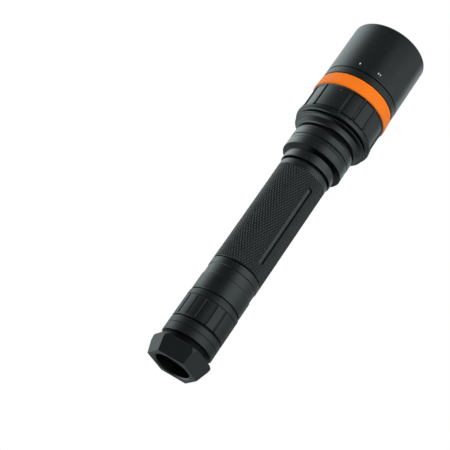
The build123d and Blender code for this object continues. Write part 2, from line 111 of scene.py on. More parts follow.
def rows_between(rows, z0, z1, step, rmin=0.0):
    """Adds rows along the outer wall so that no gap in z between z0 and z1 is over step."""
    out = []
    n = len(rows)
    for k in range(n):
        a, b = rows[k], rows[(k + 1) % n]
        out.append(a)
        if min(a[0], b[0]) < rmin:
            continue
        lo, hi = min(a[1], b[1]), max(a[1], b[1])
        if hi <= z0 or lo >= z1 or hi - lo < step * 1.01:
            continue
        m = int(math.ceil((hi - lo) / step))
        for i in range(1, m):
            f = i / m
            out.append((a[0] + (b[0] - a[0]) * f, a[1] + (b[1] - a[1]) * f, a[2] + (b[2] - a[2]) * f))
    return out


def grid_object(name, X, Y, Z, wear_and_painted_light, closed_rows=True, sharp=38.0, merge=2e-6):
    """A closed surface from a grid of points: rows run along the outline, columns round the axis. Millimetres in."""
    nv, nu = X.shape
    co = np.stack([X, Y, Z], -1).reshape(-1, 3) * MM
    i = np.arange(nv if closed_rows else nv - 1)[:, None]
    j = np.arange(nu)[None, :]
    i2, j2 = (i + 1) % nv, (j + 1) % nu
    q = np.stack([i * nu + j, i * nu + j2, i2 * nu + j2, i2 * nu + j], -1).reshape(-1, 4)
    a, b, c, d = (co[q[:, k]] for k in range(4))
    vol = (np.einsum("ij,ij->i", a, np.cross(b, c)) + np.einsum("ij,ij->i", a, np.cross(c, d))).sum()
    if vol < 0:
        q = q[:, ::-1]
    me = bpy.data.meshes.new(name)
    me.vertices.add(len(co))
    me.vertices.foreach_set("co", co.astype(np.float32).ravel())
    me.loops.add(q.size)
    me.loops.foreach_set("vertex_index", q.astype(np.int32).ravel())
    me.polygons.add(len(q))
    me.polygons.foreach_set("loop_start", np.arange(0, q.size, 4, dtype=np.int32))
    me.polygons.foreach_set("loop_total", np.full(len(q), 4, np.int32))
    me.update(calc_edges=True)
    me.validate()
    at = me.attributes.new("wear_and_painted_light", "FLOAT", "POINT")
    at.data.foreach_set("value", np.broadcast_to(wear_and_painted_light, (nv, nu)).astype(np.float32).ravel())
    ob = bpy.data.objects.new(name, me)
    bpy.context.scene.collection.objects.link(ob)
    if merge:
        bm = bmesh.new()
        bm.from_mesh(me)
        bmesh.ops.remove_doubles(bm, verts=bm.verts, dist=merge)
        bm.to_mesh(me)
        bm.free()
    smooth(ob, sharp)
    return ob


def smooth(ob, sharp=38.0):
    me = ob.data
    me.polygons.foreach_set("use_smooth", np.ones(len(me.polygons), bool))
    me.set_sharp_from_angle(angle=radians(sharp))
    me.update()


def ring_angles(n=192, at=0.0):
    return np.radians(at + np.arange(n) * 360.0 / n)


def turned(name, pts, phis=None, mod=None, rounding=5, extra=None, sharp=38.0, merge=2e-6):
    """Turns an outline round the axis. mod(phi, r, z, w) may reshape it, w being the wear_and_painted_light attribute;
    each argument is a grid.
    """
    rows = outline(pts, rounding)
    for e in extra or []:
        rows = rows_between(rows, *e)
    R = np.array([q[0] for q in rows])[:, None]
    Z = np.array([q[1] for q in rows])[:, None]
    W = np.array([q[2] for q in rows])[:, None]
    phi = (ring_angles() if phis is None else np.asarray(phis, float))[None, :]
    F = np.broadcast_to(phi, (len(rows), phi.shape[1])).copy()
    R = np.broadcast_to(R, F.shape).copy()
    Z = np.broadcast_to(Z, F.shape).copy()
    W = np.broadcast_to(W, F.shape).copy()
    if mod is not None:
        F, R, Z, W = mod(F, R, Z, W)
    return grid_object(name, R * np.sin(F), -R * np.cos(F), Z, W, sharp=sharp, merge=merge)


def put(ob, body, material, *replaced, slot=None):
    ob.data.materials.clear()
    ob.data.materials.append(material)
    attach(ob, body)
    if replaced:
        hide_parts(*replaced)
    return ob


def smoothstep(x):
    x = np.clip(x, 0, 1)
    return x * x * (3 - 2 * x)


# ---------------------------------------------------------------------------
# materials: every one is built from procedural nodes
# ---------------------------------------------------------------------------
class Tree:
    def __init__(self, name):
        self.m = bpy.data.materials.new(name)
        self.m.use_nodes = True
        self.t = self.m.node_tree
        self.t.nodes.clear()
        self.out = self.add("ShaderNodeOutputMaterial")
        self.bsdf = self.add("ShaderNodeBsdfPrincipled")
        self.t.links.new(self.bsdf.outputs[0], self.out.inputs["Surface"])
        self.coord = self.add("ShaderNodeTexCoord").outputs["Object"]

    def add(self, kind, **props):
        n = self.t.nodes.new(kind)
        for k, v in props.items():
            setattr(n, k, v)
        return n

    def link(self, a, b):
        self.t.links.new(a, b)

    def value(self, x):
        n = self.add("ShaderNodeValue")
        n.outputs[0].default_value = x
        return n.outputs[0]

    def math(self, op, a, b=None, c=None, clamp=False):
        n = self.add("ShaderNodeMath", operation=op, use_clamp=clamp)
        for i, v in enumerate((a, b, c)):
            if v is None:
                continue
            if isinstance(v, (int, float)):
                n.inputs[i].default_value = v
            else:
                self.link(v, n.inputs[i])
        return n.outputs[0]

    def mapped(self, scale=(1, 1, 1), rot=(0, 0, 0)):
        n = self.add("ShaderNodeMapping")
        n.inputs["Scale"].default_value = scale
        n.inputs["Rotation"].default_value = rot
        self.link(self.coord, n.inputs["Vector"])
        return n.outputs[0]

    def noise(self, scale, detail=3.0, rough=0.55, vec=None, distortion=0.0):
        n = self.add("ShaderNodeTexNoise")
        n.inputs["Scale"].default_value = scale
        n.inputs["Detail"].default_value = detail
        n.inputs["Roughness"].default_value = rough
        n.inputs["Distortion"].default_value = distortion
        self.link(vec or self.coord, n.inputs["Vector"])
        return n.outputs["Fac"]

    def voronoi(self, scale, feature="F1", vec=None, out="Distance"):
        n = self.add("ShaderNodeTexVoronoi", feature=feature)
        n.inputs["Scale"].default_value = scale
        self.link(vec or self.coord, n.inputs["Vector"])
        return n.outputs[out]

    def ramp(self, fac, stops, interp="LINEAR"):
        n = self.add("ShaderNodeValToRGB")
        n.color_ramp.interpolation = interp
        e = n.color_ramp.elements
        while len(e) > 1:
            e.remove(e[-1])
        for k, (pos, col) in enumerate(stops):
            col = (col, col, col, 1) if isinstance(col, (int, float)) else (*col[:3], 1)
            if k == 0:
                e[0].position, e[0].color = pos, col
            else:
                x = e.new(pos)
                x.color = col
        self.link(fac, n.inputs["Fac"])
        return n.outputs["Color"]

    def mix(self, fac, a, b, blend="MIX"):
        n = self.add("ShaderNodeMix", data_type="RGBA", blend_type=blend)
        if isinstance(fac, (int, float)):
            n.inputs[0].default_value = fac
        else:
            self.link(fac, n.inputs[0])
        for i, v in ((6, a), (7, b)):
            if isinstance(v, tuple):
                n.inputs[i].default_value = (*v[:3], 1)
            else:
                self.link(v, n.inputs[i])
        return n.outputs[2]

    def attr(self, name):
        return self.add("ShaderNodeAttribute", attribute_name=name, attribute_type="GEOMETRY").outputs["Fac"]

    def bump(self, height, distance, strength=1.0, normal=None):
        n = self.add("ShaderNodeBump")
        n.inputs["Strength"].default_value = strength
        n.inputs["Distance"].default_value = distance
        self.link(height, n.inputs["Height"])
        if normal is not None:
            self.link(normal, n.inputs["Normal"])
        return n.outputs[0]

    def set(self, **kw):
        for k, v in kw.items():
            s = self.bsdf.inputs[k.replace("_", " ")]
            if isinstance(v, (int, float)):
                s.default_value = v
            elif isinstance(v, tuple):
                s.default_value = (*v[:3], 1) if len(s.default_value) == 4 else v
            else:
                self.link(v, s)
        return self


def anodised(name, base=0.0032, rough=0.34, grain=1.0, turning=1.0, edge=1.0, warm=0.0, ior=1.55):
    """Black hard-anodised aluminium: bead-blasted grain, faint turning lines, slightly rubbed edges, painted highlights
    on chosen rims and faces, and painted shade in hollows and grooves.
    """
    t = Tree(name)
    big = t.noise(55, 4, 0.6)
    mid = t.noise(420, 4, 0.6)
    fine = t.noise(5200, 3, 0.65)
    c0 = (base * (0.80 + warm), base * 0.93, base * 1.0)
    c1 = (base * (1.24 + warm), base * 1.36, base * 1.40)
    col = t.mix(t.math("MULTIPLY_ADD", big, 1.3, -0.15, clamp=True), c0, c1)
    speck = t.math("MULTIPLY", t.math("GREATER_THAN", fine, 0.66), 0.20)
    col = t.mix(speck, col, (base * 3.4, base * 3.6, base * 3.7))
    # positive attribute values lighten the colour and lower the roughness: rubbed edges, and painted highlights on the
    # flute rims and floors
    wear_and_painted_light = t.math("MAXIMUM", t.attr("wear_and_painted_light"), 0.0)
    broken = t.math("MULTIPLY_ADD", mid, 2.6, -0.95, clamp=True)
    rub_and_painted_highlight = t.math("MULTIPLY", t.math("MULTIPLY", wear_and_painted_light, broken), 0.42 * edge, clamp=True)
    col = t.mix(rub_and_painted_highlight, col, (0.030, 0.031, 0.031))
    # painted shade: negative attribute values darken hollows, groove bottoms and chosen wall feet
    painted_hollow_shade = t.math("MAXIMUM", t.math("MULTIPLY", t.attr("wear_and_painted_light"), -1.0), 0.0)
    col = t.mix(t.math("MULTIPLY", painted_hollow_shade, 0.55), col, (base * 0.35, base * 0.35, base * 0.35))
    # scuffs: a few long faint marks
    sc = t.noise(160, 2, 0.5, t.mapped((1.0, 1.0, 0.09), (0.5, 0.2, 0.35)), 0.4)
    scuff = t.math("MULTIPLY", t.math("SUBTRACT", t.math("ABSOLUTE", t.math("SUBTRACT", sc, 0.5)), 0.0), 1.0)
    line = t.ramp(scuff, [(0.0, 1.0), (0.0035, 0.0)])
    patch = t.ramp(t.noise(38, 2, 0.5), [(0.56, 0.0), (0.66, 1.0)])
    marks = t.math("MULTIPLY", t.math("MULTIPLY", line, patch), 0.16 * edge)
    col = t.mix(marks, col, (0.05, 0.05, 0.05))
    r = t.math("MULTIPLY_ADD", big, 0.10, rough - 0.05)
    r = t.math("MULTIPLY_ADD", fine, 0.10, t.math("SUBTRACT", r, 0.05))
    r = t.math("SUBTRACT", r, t.math("MULTIPLY", rub_and_painted_highlight, 0.12))
    lathe = t.noise(2600, 2, 0.7, t.mapped((0.004, 0.004, 1.0)))
    h = t.math("ADD", t.math("MULTIPLY", fine, 1.0 * grain), t.math("MULTIPLY", lathe, 0.8 * turning))
    # painted shade: the bottoms of grooves and hollows are darkened and lose sheen
    t.set(Base_Color=col, Roughness=r, Metallic=0.0, IOR=ior,
          Specular_IOR_Level=t.math("MULTIPLY_ADD", painted_hollow_shade, -0.42, 0.5), Normal=t.bump(h, 0.0000042), Coat_Weight=0.0)
    return t.m


def moulded(name, c0, c1, rough=0.5, bumpy=0.000006, scale=3200, spec=0.45, sheen=0.0, subsurface=0.0, wear_col=None):
    """Moulded plastic or rubber with a spark-eroded grain and slight mottling; rubbed edges are lighter and hollows
    carry painted shade.
    """
    t = Tree(name)
    big = t.noise(70, 4, 0.55)
    fine = t.noise(scale, 4, 0.6)
    cells = t.voronoi(scale * 0.55)
    col = t.mix(t.math("MULTIPLY_ADD", big, 1.2, -0.1, clamp=True), c0, c1)
    wear_and_painted_light = t.math("MAXIMUM", t.attr("wear_and_painted_light"), 0.0)
    if wear_col is not None:
        col = t.mix(t.math("MULTIPLY", wear_and_painted_light, 0.35), col, wear_col)
    # painted shade: negative attribute values darken hollows
    painted_hollow_shade = t.math("MAXIMUM", t.math("MULTIPLY", t.attr("wear_and_painted_light"), -1.0), 0.0)
    col = t.mix(t.math("MULTIPLY", painted_hollow_shade, 0.4), col, tuple(v * 0.4 for v in c0))
    r = t.math("MULTIPLY_ADD", fine, 0.14, rough - 0.07)
    h = t.math("ADD", fine, t.math("MULTIPLY", cells, 0.6))
    t.set(Base_Color=col, Roughness=r, IOR=1.48, Specular_IOR_Level=spec, Normal=t.bump(h, bumpy))
    if sheen:
        t.set(Sheen_Weight=sheen, Sheen_Roughness=0.4)
    if subsurface:
        t.set(Subsurface_Weight=subsurface, Subsurface_Scale=0.0006)
    return t.m


def metal(name, c0, c1, rough=0.25, turning=1.0, scale=2400, axis=(0.004, 0.004, 1.0)):
    """Bare or plated metal with turning or drawing lines and light tarnish."""
    t = Tree(name)
    big = t.noise(120, 4, 0.6)
    lathe = t.noise(scale, 3, 0.7, t.mapped(axis))
    fine = t.noise(6000, 2, 0.6)
    col = t.mix(t.math("MULTIPLY_ADD", big, 1.6, -0.3, clamp=True), c0, c1)
    r = t.math("MULTIPLY_ADD", big, 0.12, rough - 0.06)
    h = t.math("ADD", t.math("MULTIPLY", lathe, turning), t.math("MULTIPLY", fine, 0.3))
    t.set(Base_Color=col, Metallic=1.0, Roughness=r, Normal=t.bump(h, 0.000002))
    return t.m


def board(name, mask0, mask1, rough=0.35):
    """Circuit board: solder mask with faint copper tracks showing through and tinned pads."""
    t = Tree(name)
    br = t.add("ShaderNodeTexBrick")
    br.inputs["Scale"].default_value = 420
    br.inputs["Mortar Size"].default_value = 0.035
    br.inputs["Mortar"].default_value = (1, 1, 1, 1)
    br.inputs["Color1"].default_value = (0, 0, 0, 1)
    br.inputs["Color2"].default_value = (0, 0, 0, 1)
    t.link(t.coord, br.inputs["Vector"])
    tracks = br.outputs["Color"]
    big = t.noise(300, 3, 0.5)
    col = t.mix(t.math("MULTIPLY", tracks, 0.5), t.mix(big, mask0, mask1), tuple(min(1, v * 1.7 + 0.02) for v in mask1))
    pads = t.ramp(t.voronoi(520), [(0.10, 1.0), (0.13, 0.0)])
    col = t.mix(pads, col, (0.62, 0.62, 0.6))
    t.set(Base_Color=col, Roughness=t.math("MULTIPLY_ADD", big, 0.1, rough), Metallic=pads,
          Normal=t.bump(t.math("ADD", tracks, pads), 0.00001))
    return t.m


def painted_mark(name, col=(0.60, 0.61, 0.60)):
    """Paint filled into an engraved mark: slightly uneven and worn."""
    t = Tree(name)
    n = t.noise(2600, 4, 0.65)
    c = t.mix(t.ramp(n, [(0.25, 1.0), (0.42, 0.0)]), col, tuple(v * 0.45 for v in col))
    t.set(Base_Color=c, Roughness=t.math("MULTIPLY_ADD", n, 0.2, 0.45), IOR=1.5, Normal=t.bump(n, 0.00001))
    return t.m


M = {}
M["bell"] = anodised("anodised_bell", rough=0.27, turning=0.7)
M["core"] = anodised("anodised_core", rough=0.34, turning=1.4)
M["ring"] = anodised("anodised_ring", rough=0.31, turning=0.4, edge=1.3)
M["neck"] = anodised("anodised_neck", rough=0.22, turning=1.6)
M["tube"] = anodised("anodised_tube", rough=0.28, turning=0.6, edge=1.2)
M["tail"] = anodised("anodised_tail", rough=0.36, turning=0.7, edge=1.2)
M["orange"] = moulded("orange_band", (0.86, 0.165, 0.008), (0.94, 0.205, 0.012), rough=0.5, bumpy=0.000005,
                      scale=2600, spec=0.14, subsurface=0.08, wear_col=(1.0, 0.30, 0.07))
M["boot"] = moulded("boot_rubber", (0.010, 0.010, 0.010), (0.020, 0.020, 0.020), rough=0.62, bumpy=0.00001, scale=2200,
                    spec=0.3, sheen=0.15, wear_col=(0.06, 0.06, 0.06))
M["seal"] = moulded("seal_rubber", (0.0022, 0.0022, 0.0022), (0.0045, 0.0045, 0.0045), rough=0.5, bumpy=0.000006, scale=3600, spec=0.22)
M["washer"] = moulded("washer_plastic", (0.002, 0.002, 0.002), (0.004, 0.004, 0.004), rough=0.55, scale=3000, spec=0.12)
M["plastic"] = moulded("black_plastic", (0.014, 0.014, 0.015), (0.026, 0.026, 0.027), rough=0.45, scale=3000)
M["white"] = moulded("white_plastic", (0.70, 0.70, 0.67), (0.80, 0.80, 0.78), rough=0.42, scale=2600)
M["steel"] = metal("plain_steel", (0.42, 0.42, 0.43), (0.62, 0.62, 0.63), rough=0.26)
M["gold"] = metal("gold_spring", (0.80, 0.56, 0.22), (0.93, 0.72, 0.36), rough=0.22)
M["brass"] = metal("brass_ring", (0.60, 0.42, 0.17), (0.78, 0.58, 0.27), rough=0.3, turning=1.6)
M["nickel"] = metal("magnet_nickel", (0.55, 0.54, 0.52), (0.70, 0.69, 0.67), rough=0.16)
M["pcb_green"] = board("board_green", (0.006, 0.06, 0.025), (0.012, 0.10, 0.045))
M["pcb_white"] = board("board_white", (0.62, 0.62, 0.60), (0.74, 0.74, 0.72))
M["chip"] = moulded("component_black", (0.012, 0.012, 0.013), (0.03, 0.03, 0.032), rough=0.4, scale=5200)
M["mark"] = painted_mark("mark_paint")
M["dot"] = painted_mark("index_paint", (0.055, 0.062, 0.06))


def wire_material():
    t = Tree("wire_jacket")
    sep = t.add("ShaderNodeSeparateXYZ")
    t.link(t.coord, sep.inputs[0])
    side = t.math("GREATER_THAN", sep.outputs["X"], 0.0)
    n = t.noise(2400, 3, 0.6)
    col = t.mix(side, (0.02, 0.02, 0.02), (0.42, 0.02, 0.015))
    col = t.mix(t.math("MULTIPLY", n, 0.3), col, (0.1, 0.03, 0.03))
    t.set(Base_Color=col, Roughness=t.math("MULTIPLY_ADD", n, 0.15, 0.38), Normal=t.bump(n, 0.00001))
    return t.m


def cell_material():
    """Shrink-wrapped cell: blue film with bare steel at both ends."""
    t = Tree("cell_wrap")
    geo = t.add("ShaderNodeNewGeometry")
    sep = t.add("ShaderNodeSeparateXYZ")
    t.link(geo.outputs["Normal"], sep.inputs[0])
    flat = t.math("GREATER_THAN", t.math("ABSOLUTE", sep.outputs["Z"]), 0.85)
    n = t.noise(700, 4, 0.6)
    col = t.mix(n, (0.012, 0.06, 0.22), (0.02, 0.09, 0.32))
    col = t.mix(flat, col, (0.6, 0.6, 0.6))
    t.set(Base_Color=col, Metallic=flat, Roughness=t.math("MULTIPLY_ADD", n, 0.12, 0.25), Normal=t.bump(n, 0.00002))
    return t.m


def mirror_material():
    """Vacuum-metallised reflector: near mirror with very fine spinning lines and a slight, uneven haze."""
    t = Tree("reflector_mirror")
    n = t.noise(900, 3, 0.6)
    lines = t.noise(3800, 2, 0.6, t.mapped((0.02, 0.02, 1.0)))
    r = t.math("MULTIPLY_ADD", n, 0.035, 0.025)
    t.set(Base_Color=t.mix(n, (0.86, 0.87, 0.88), (0.93, 0.93, 0.93)), Metallic=1.0, Roughness=r,
          Normal=t.bump(lines, 0.0000005))
    return t.m


def glass_material():
    """Coated lens: clear glass with a faint violet-green coating tint and a trace of dust."""
    t = Tree("lens_glass")
    lw = t.add("ShaderNodeLayerWeight")
    lw.inputs["Blend"].default_value = 0.35
    tint = t.mix(lw.outputs["Facing"], (0.985, 1.0, 0.99), (0.90, 0.96, 1.0))
    dust = t.ramp(t.noise(5200, 3, 0.7), [(0.66, 0.0), (0.80, 1.0)])
    t.set(Base_Color=tint, Roughness=t.math("MULTIPLY", dust, 0.10), IOR=1.5, Transmission_Weight=1.0,
          Specular_Tint=t.mix(t.noise(90, 2, 0.5), (0.55, 0.35, 0.9), (0.3, 0.75, 0.6)), Alpha=1.0)
    return t.m


M["wire"], M["cell"], M["mirror"], M["glass"] = wire_material(), cell_material(), mirror_material(), glass_material()


def die_material():
    t = Tree("led_phosphor")
    n = t.voronoi(9000)
    f = t.noise(3000, 3, 0.6)
    t.set(Base_Color=t.mix(f, (0.85, 0.62, 0.04), (0.93, 0.76, 0.10)), Roughness=0.6,
          Normal=t.bump(n, 0.00001), Subsurface_Weight=0.2, Subsurface_Scale=0.0005)
    return t.m


def dome_material():
    t = Tree("led_dome")
    n = t.noise(1500, 2, 0.5)
    t.set(Base_Color=t.mix(n, (1.0, 0.99, 0.95), (0.98, 0.97, 0.9)), Roughness=t.math("MULTIPLY", n, 0.05), IOR=1.42,
          Transmission_Weight=1.0)
    return t.m


M["die"], M["dome"] = die_material(), dome_material()


# ---------------------------------------------------------------------------
# head
# ---------------------------------------------------------------------------
ring192 = ring_angles(256)

bell = turned("bell_shell", [
    (18.65, 172.25), (20.1, 172.25, 0.22), (20.1, 202.8, 0.75), (18.35, 202.8, 0.25), (17.6, 202.05, 0.2), (17.6, 201.2, 0.1),
    (18.65, 201.2)], ring192)
put(bell, "light", M["bell"], "bell_housing", slot="black_anodised")

core = turned("head_core_body", [
    (0.0, 165.0), (12.0, 165.0), (12.0, 123.3), (13.75, 123.3, 0.1), (13.75, 135.6), (13.9, 136.3), (14.55, 136.3, 0.1),
    (14.55, 140.0), (16.85, 140.0, 0.25), (16.85, 141.4), (15.95, 141.4), (15.95, 142.6), (16.85, 142.6),
    (16.85, 165.0), (15.95, 165.0), (15.95, 166.2), (16.85, 166.2), (16.85, 168.0), (20.1, 168.0, 0.22),
    (20.1, 171.75, 0.22), (18.0, 171.75), (18.0, 172.6), (17.55, 172.6), (17.55, 173.8), (18.2, 173.8), (18.5, 174.3),
    (18.5, 180.4), (18.2, 181.0), (15.8, 181.0), (15.8, 170.0), (0.0, 170.0)], ring192)
put(core, "light", M["core"], "head_core", slot="black_anodised")

# reflector: smooth parabola, rebuilt finely because it is seen through the lens
f_, v_ = 2.98, 172.35
zi = 173.5 + (198.2 - 173.5) * (np.arange(64) / 63.0) ** 1.7
zo = 172.6 + (197.0 - 172.6) * (np.arange(48) / 47.0) ** 1.7
prof = [(sqrt(4 * f_ * (z - v_)), z) for z in zi] + [(18.5, 198.2), (18.5, 197.0)]
prof += [(sqrt(4 * f_ * (z - v_ + 0.9)) + 0.9, z) for z in zo[::-1]] + [(3.7, 172.6)]
R = np.array([p[0] for p in prof])[:, None] * np.ones((1, 192))
Zr = np.array([p[1] for p in prof])[:, None] * np.ones((1, 192))
F = ring_angles(192)[None, :] * np.ones((len(prof), 1))
refl = grid_object("reflector_cup", R * np.sin(F), -R * np.cos(F), Zr, 0.0, sharp=40)
put(refl, "light", M["mirror"], "reflector", slot="reflector_mirror")

# lens seal seen inside the rim
t_ = np.radians(np.arange(20) * 18)
Rs, Zs = (18.12 + 0.44 * np.cos(t_))[:, None] * np.ones((1, 192)), (200.75 + 0.44 * np.sin(t_))[:, None] * np.ones((1, 192))
F = ring_angles(192)[None, :] * np.ones((20, 1))
seal = grid_object("lens_seal", Rs * np.sin(F), -Rs * np.cos(F), Zs, 0.0, sharp=180)
put(seal, "light", M["seal"], "lens_o_ring", slot="seal_rubber")


def box_piece(name, x, y, z0, z1, bevel=0.15, segments=3, centre=(0, 0)):
    me = bpy.data.meshes.new(name)
    bm = bmesh.new()
    bmesh.ops.create_cube(bm, size=1.0, matrix=Matrix.Translation((centre[0] * MM, centre[1] * MM, (z0 + z1) / 2 * MM))
                          @ Matrix.Diagonal((x * MM, y * MM, (z1 - z0) * MM, 1)))
    bmesh.ops.bevel(bm, geom=bm.edges[:], offset=bevel * MM, segments=segments, affect="EDGES", profile=0.6)
    bm.to_mesh(me)
    bm.free()
    ob = bpy.data.objects.new(name, me)
    bpy.context.scene.collection.objects.link(ob)
    smooth(ob, 30)
    return ob


base = box_piece("led_package", 5.0, 5.0, 171.6, 172.22, 0.12)
put(base, "light", M["white"], "led_emitter", slot="emitter_ceramic")
die = box_piece("led_die", 2.3, 2.3, 172.20, 172.42, 0.05, 2)
put(die, "light", M["die"], slot="emitter_ceramic")
dome_rows = [(2.25 * cos(a), 172.24 + 0.12 + 2.1 * sin(a)) for a in np.radians(np.linspace(0, 90, 17))]
dome_rows = [(0.0, 172.24), (2.25, 172.24)] + dome_rows[:-1] + [(0.0, dome_rows[-1][1])]
Rd = np.array([p[0] for p in dome_rows])[:, None] * np.ones((1, 64))
Zd = np.array([p[1] for p in dome_rows])[:, None] * np.ones((1, 64))
F = ring_angles(64)[None, :] * np.ones((len(dome_rows), 1))
dome = grid_object("led_dome", Rd * np.sin(F), -Rd * np.cos(F), Zd, 0.0, sharp=50)
put(dome, "light", M["dome"], slot="emitter_ceramic")


# ---------------------------------------------------------------------------
# selector: fluted ring and coloured band
# ---------------------------------------------------------------------------
RIB_SHIFT = -1.2                       # degrees
RIB_TOP, RIB_WALL = 0.36, 0.46         # half width of a rib's flat top and width of its sloping wall
PANEL_R, PANEL_Z0, PANEL_Z1 = 19.68, 145.0, 159.45
WALL_LOW, WALL_HIGH = 0.9, 0.4         # height of the panel's lower and upper sloping walls


def ring_phis():
    """Columns for the ring: fine on each rib's two walls, coarser between."""
    offs = [0, 0.2, RIB_TOP - 0.05, RIB_TOP, RIB_TOP + 0.05, RIB_TOP + 0.14, RIB_TOP + 0.23, RIB_TOP + 0.32, RIB_TOP + 0.41, RIB_TOP + RIB_WALL,
            RIB_TOP + RIB_WALL + 0.06, RIB_TOP + RIB_WALL + 0.24, RIB_TOP + RIB_WALL + 0.3]
    k = 180 / pi / 20.17
    s = []
    for i, a in enumerate(RIB_PHI):
        b = RIB_PHI[(i + 1) % len(RIB_PHI)] + (360 if i == len(RIB_PHI) - 1 else 0)
        s += [a + o * k for o in offs] + [a - o * k for o in offs[1:]]
        lo, hi = a + offs[-1] * k, b - offs[-1] * k
        m = max(3, int(round((hi - lo) / 1.4)))
        s += [lo + (hi - lo) * j / m for j in range(1, m)]
    v = np.unique(np.round(np.mod(np.array(s) + RIB_SHIFT, 360.0), 4))
    return np.radians(v)


def ease(x, soft=0.5):
    x = np.clip(x, 0, 1)
    return x * (1 - soft) + soft * x * x * (3 - 2 * x)


def ring_mod(F, R, Z, W):
    deg = np.degrees(F)
    d = np.full(F.shape, 1e9)
    side = np.zeros(F.shape)
    for a in RIB_PHI:
        e = (deg - a - RIB_SHIFT + 180) % 360 - 180
        side = np.where(np.abs(e) < d, np.sign(e), side)
        d = np.minimum(d, np.abs(e))
    dist = np.radians(d) * 20.17 - RIB_TOP       # mm past the edge of the rib's flat top
    outer = (R > 19.9) & (Z > PANEL_Z0) & (Z < PANEL_Z1)
    s = ease(dist / RIB_WALL) * ease((Z - PANEL_Z0) / WALL_LOW) * ease((PANEL_Z1 - Z) / WALL_HIGH)
    newR = np.where(outer, R + (PANEL_R - R) * s, R)
    lip = (R > 19.9) & (Z > PANEL_Z0 - 0.1) & (Z < PANEL_Z1 + 0.1) & (s < 0.12) & ((np.abs(dist) < 0.1) | (dist > 0))
    W = np.where(lip, 0.8, W)
    # painted shade: the feet of the panel walls, the right-hand wall of each rib and a band along each panel's lower
    # edge are marked dark
    W = np.where(outer & (s > 0.9) & (s < 0.999), -0.7, W)
    W = np.where(outer & (side > 0) & (dist > 0.06) & (dist < RIB_WALL + 0.25) & (s > 0.05), -1.0, W)
    W = np.where((R > 19.9) & (Z > PANEL_Z0 + 0.1) & (Z < PANEL_Z0 + WALL_LOW + 0.55) & (dist > RIB_WALL * 0.7), -1.0, W)
    return F, newR, Z, W


def steps(a, b, n):
    """n points from a to b, a left out."""
    return [(a[0] + (b[0] - a[0]) * i / n, a[1] + (b[1] - a[1]) * i / n) for i in range(1, n + 1)]


bead = [(20.17, 147.6), (20.22, 147.1), (20.30, 146.7), (20.38, 146.4), (20.45, 146.1), (20.49, 145.9), (20.53, 145.75), (20.555, 145.6),
        (20.57, 145.45), (20.58, 145.3), (20.58, 145.15), (20.575, 145.0), (20.56, 144.85), (20.54, 144.65), (20.5, 144.4), (20.4, 144.05),
        (20.25, 143.7), (20.1, 143.42), (20.02, 143.3), (19.93, 143.2), (19.75, 143.04), (19.4, 142.85)]
# painted shade: the -1 and -0.8 entries darken the groove under the bead and the underside of the grip
ring_outline = ([(14.6, 137.3), (14.6, 139.9), (16.9, 139.9), (16.9, 167.85), (19.0, 167.85), (19.0, 159.8), (20.17, 159.8, 0.15)]
                + steps((20.17, 159.6), (20.17, PANEL_Z1), 1) + steps((20.17, PANEL_Z1), (20.17, PANEL_Z1 - WALL_HIGH), 5)
                + [(20.17, 158.9), (20.17, 158.5), (20.17, 157.0), (20.17, 154.0), (20.17, 151.0), (20.17, 149.0), (20.17, 148.2)]
                + bead + [(18.3, 142.5, 0.1, -1), (18.3, 141.75, 0.1, -1), (19.1, 141.65, 0.0, -1), (19.3, 141.5, 0.06), (19.3, 141.25, 0.06), (19.0, 140.95, 0.1, -0.8),
                          (17.6, 140.27, 0.1, -0.8), (17.45, 139.6, 0.4), (17.1, 138.6, 0.6), (16.55, 137.65, 0.4), (16.1, 137.4, 0.05), (15.95, 137.3)])
ring = turned("selector_grip", ring_outline, ring_phis(), ring_mod, sharp=40)
put(ring, "selector", M["ring"], "selector_ring", slot="black_anodised")

band = turned("colour_band", [
    (19.02, 159.82), (19.02, 167.8), (19.3, 167.8, 0.1), (19.86, 167.62, 0.3), (20.14, 167.05, 0.4), (20.24, 166.0), (20.3, 165.0), (20.38, 163.8),
    (20.47, 162.6), (20.54, 161.5), (20.54, 160.75, 0.25), (20.3, 160.15, 0.25), (19.75, 159.82, 0.12)], ring192, rounding=6, sharp=50)
put(band, "selector", M["orange"], "indicator_band", slot="orange_band")

# ---------------------------------------------------------------------------
# neck
# ---------------------------------------------------------------------------
retainer = turned("neck_ring", [
    (14.25, 130.75), (15.85, 130.75, 0.1), (16.04, 130.95, 0.1), (16.03, 132.2), (16.03, 134.38, 0.05), (15.86, 134.42),
    (15.86, 134.54), (15.97, 134.6, 0.05), (15.85, 135.55, 0.2), (15.5, 136.05, 0.15), (15.2, 136.3), (14.25, 136.3)], ring192)
put(retainer, "light", M["neck"], "ring_retainer", slot="black_anodised")

# painted shade: the -1 and -0.2 entries darken the skirt's downward-facing underside
sleeve = turned("neck_skirt", [
    (12.62, 117.8), (13.6, 117.8, 0.22), (13.6, 122.5, 0.1, -1), (15.93, 123.8, 0.06, -1), (16.05, 124.0, 0.06, -0.2),
    (16.03, 124.6), (16.03, 128.12, 0.05), (15.85, 128.2), (15.85, 128.34), (15.97, 128.42, 0.05), (15.9, 130.35, 0.15),
    (15.55, 130.6), (14.25, 130.6), (14.25, 123.2), (12.62, 123.2)], ring192)
put(sleeve, "light", M["neck"], "neck_sleeve", slot="black_anodised")


# ---------------------------------------------------------------------------
# battery tube: diamond knurl, long flutes, turned grooves and a real tail thread
# ---------------------------------------------------------------------------
KN, KP, KD = 60, 2.6, 0.33            # grooves each way, axial pitch, depth
KZ0, KZ1 = 54.9, 113.5
STEP = 0.75
tube_phi = np.radians(29.0 + np.arange(480) * STEP)
FL_HALF = TUBE_R * sin(radians(6.0))   # half width, on a column of the grid
FL_FLOOR = TUBE_R - 1.05               # distance of the flat floor from the axis
FL_C = 0.6                             # corner radius of the slot's outline
FZ0, FZ1 = KZ0 + 19 * KP / 8, KZ0 + 161 * KP / 8


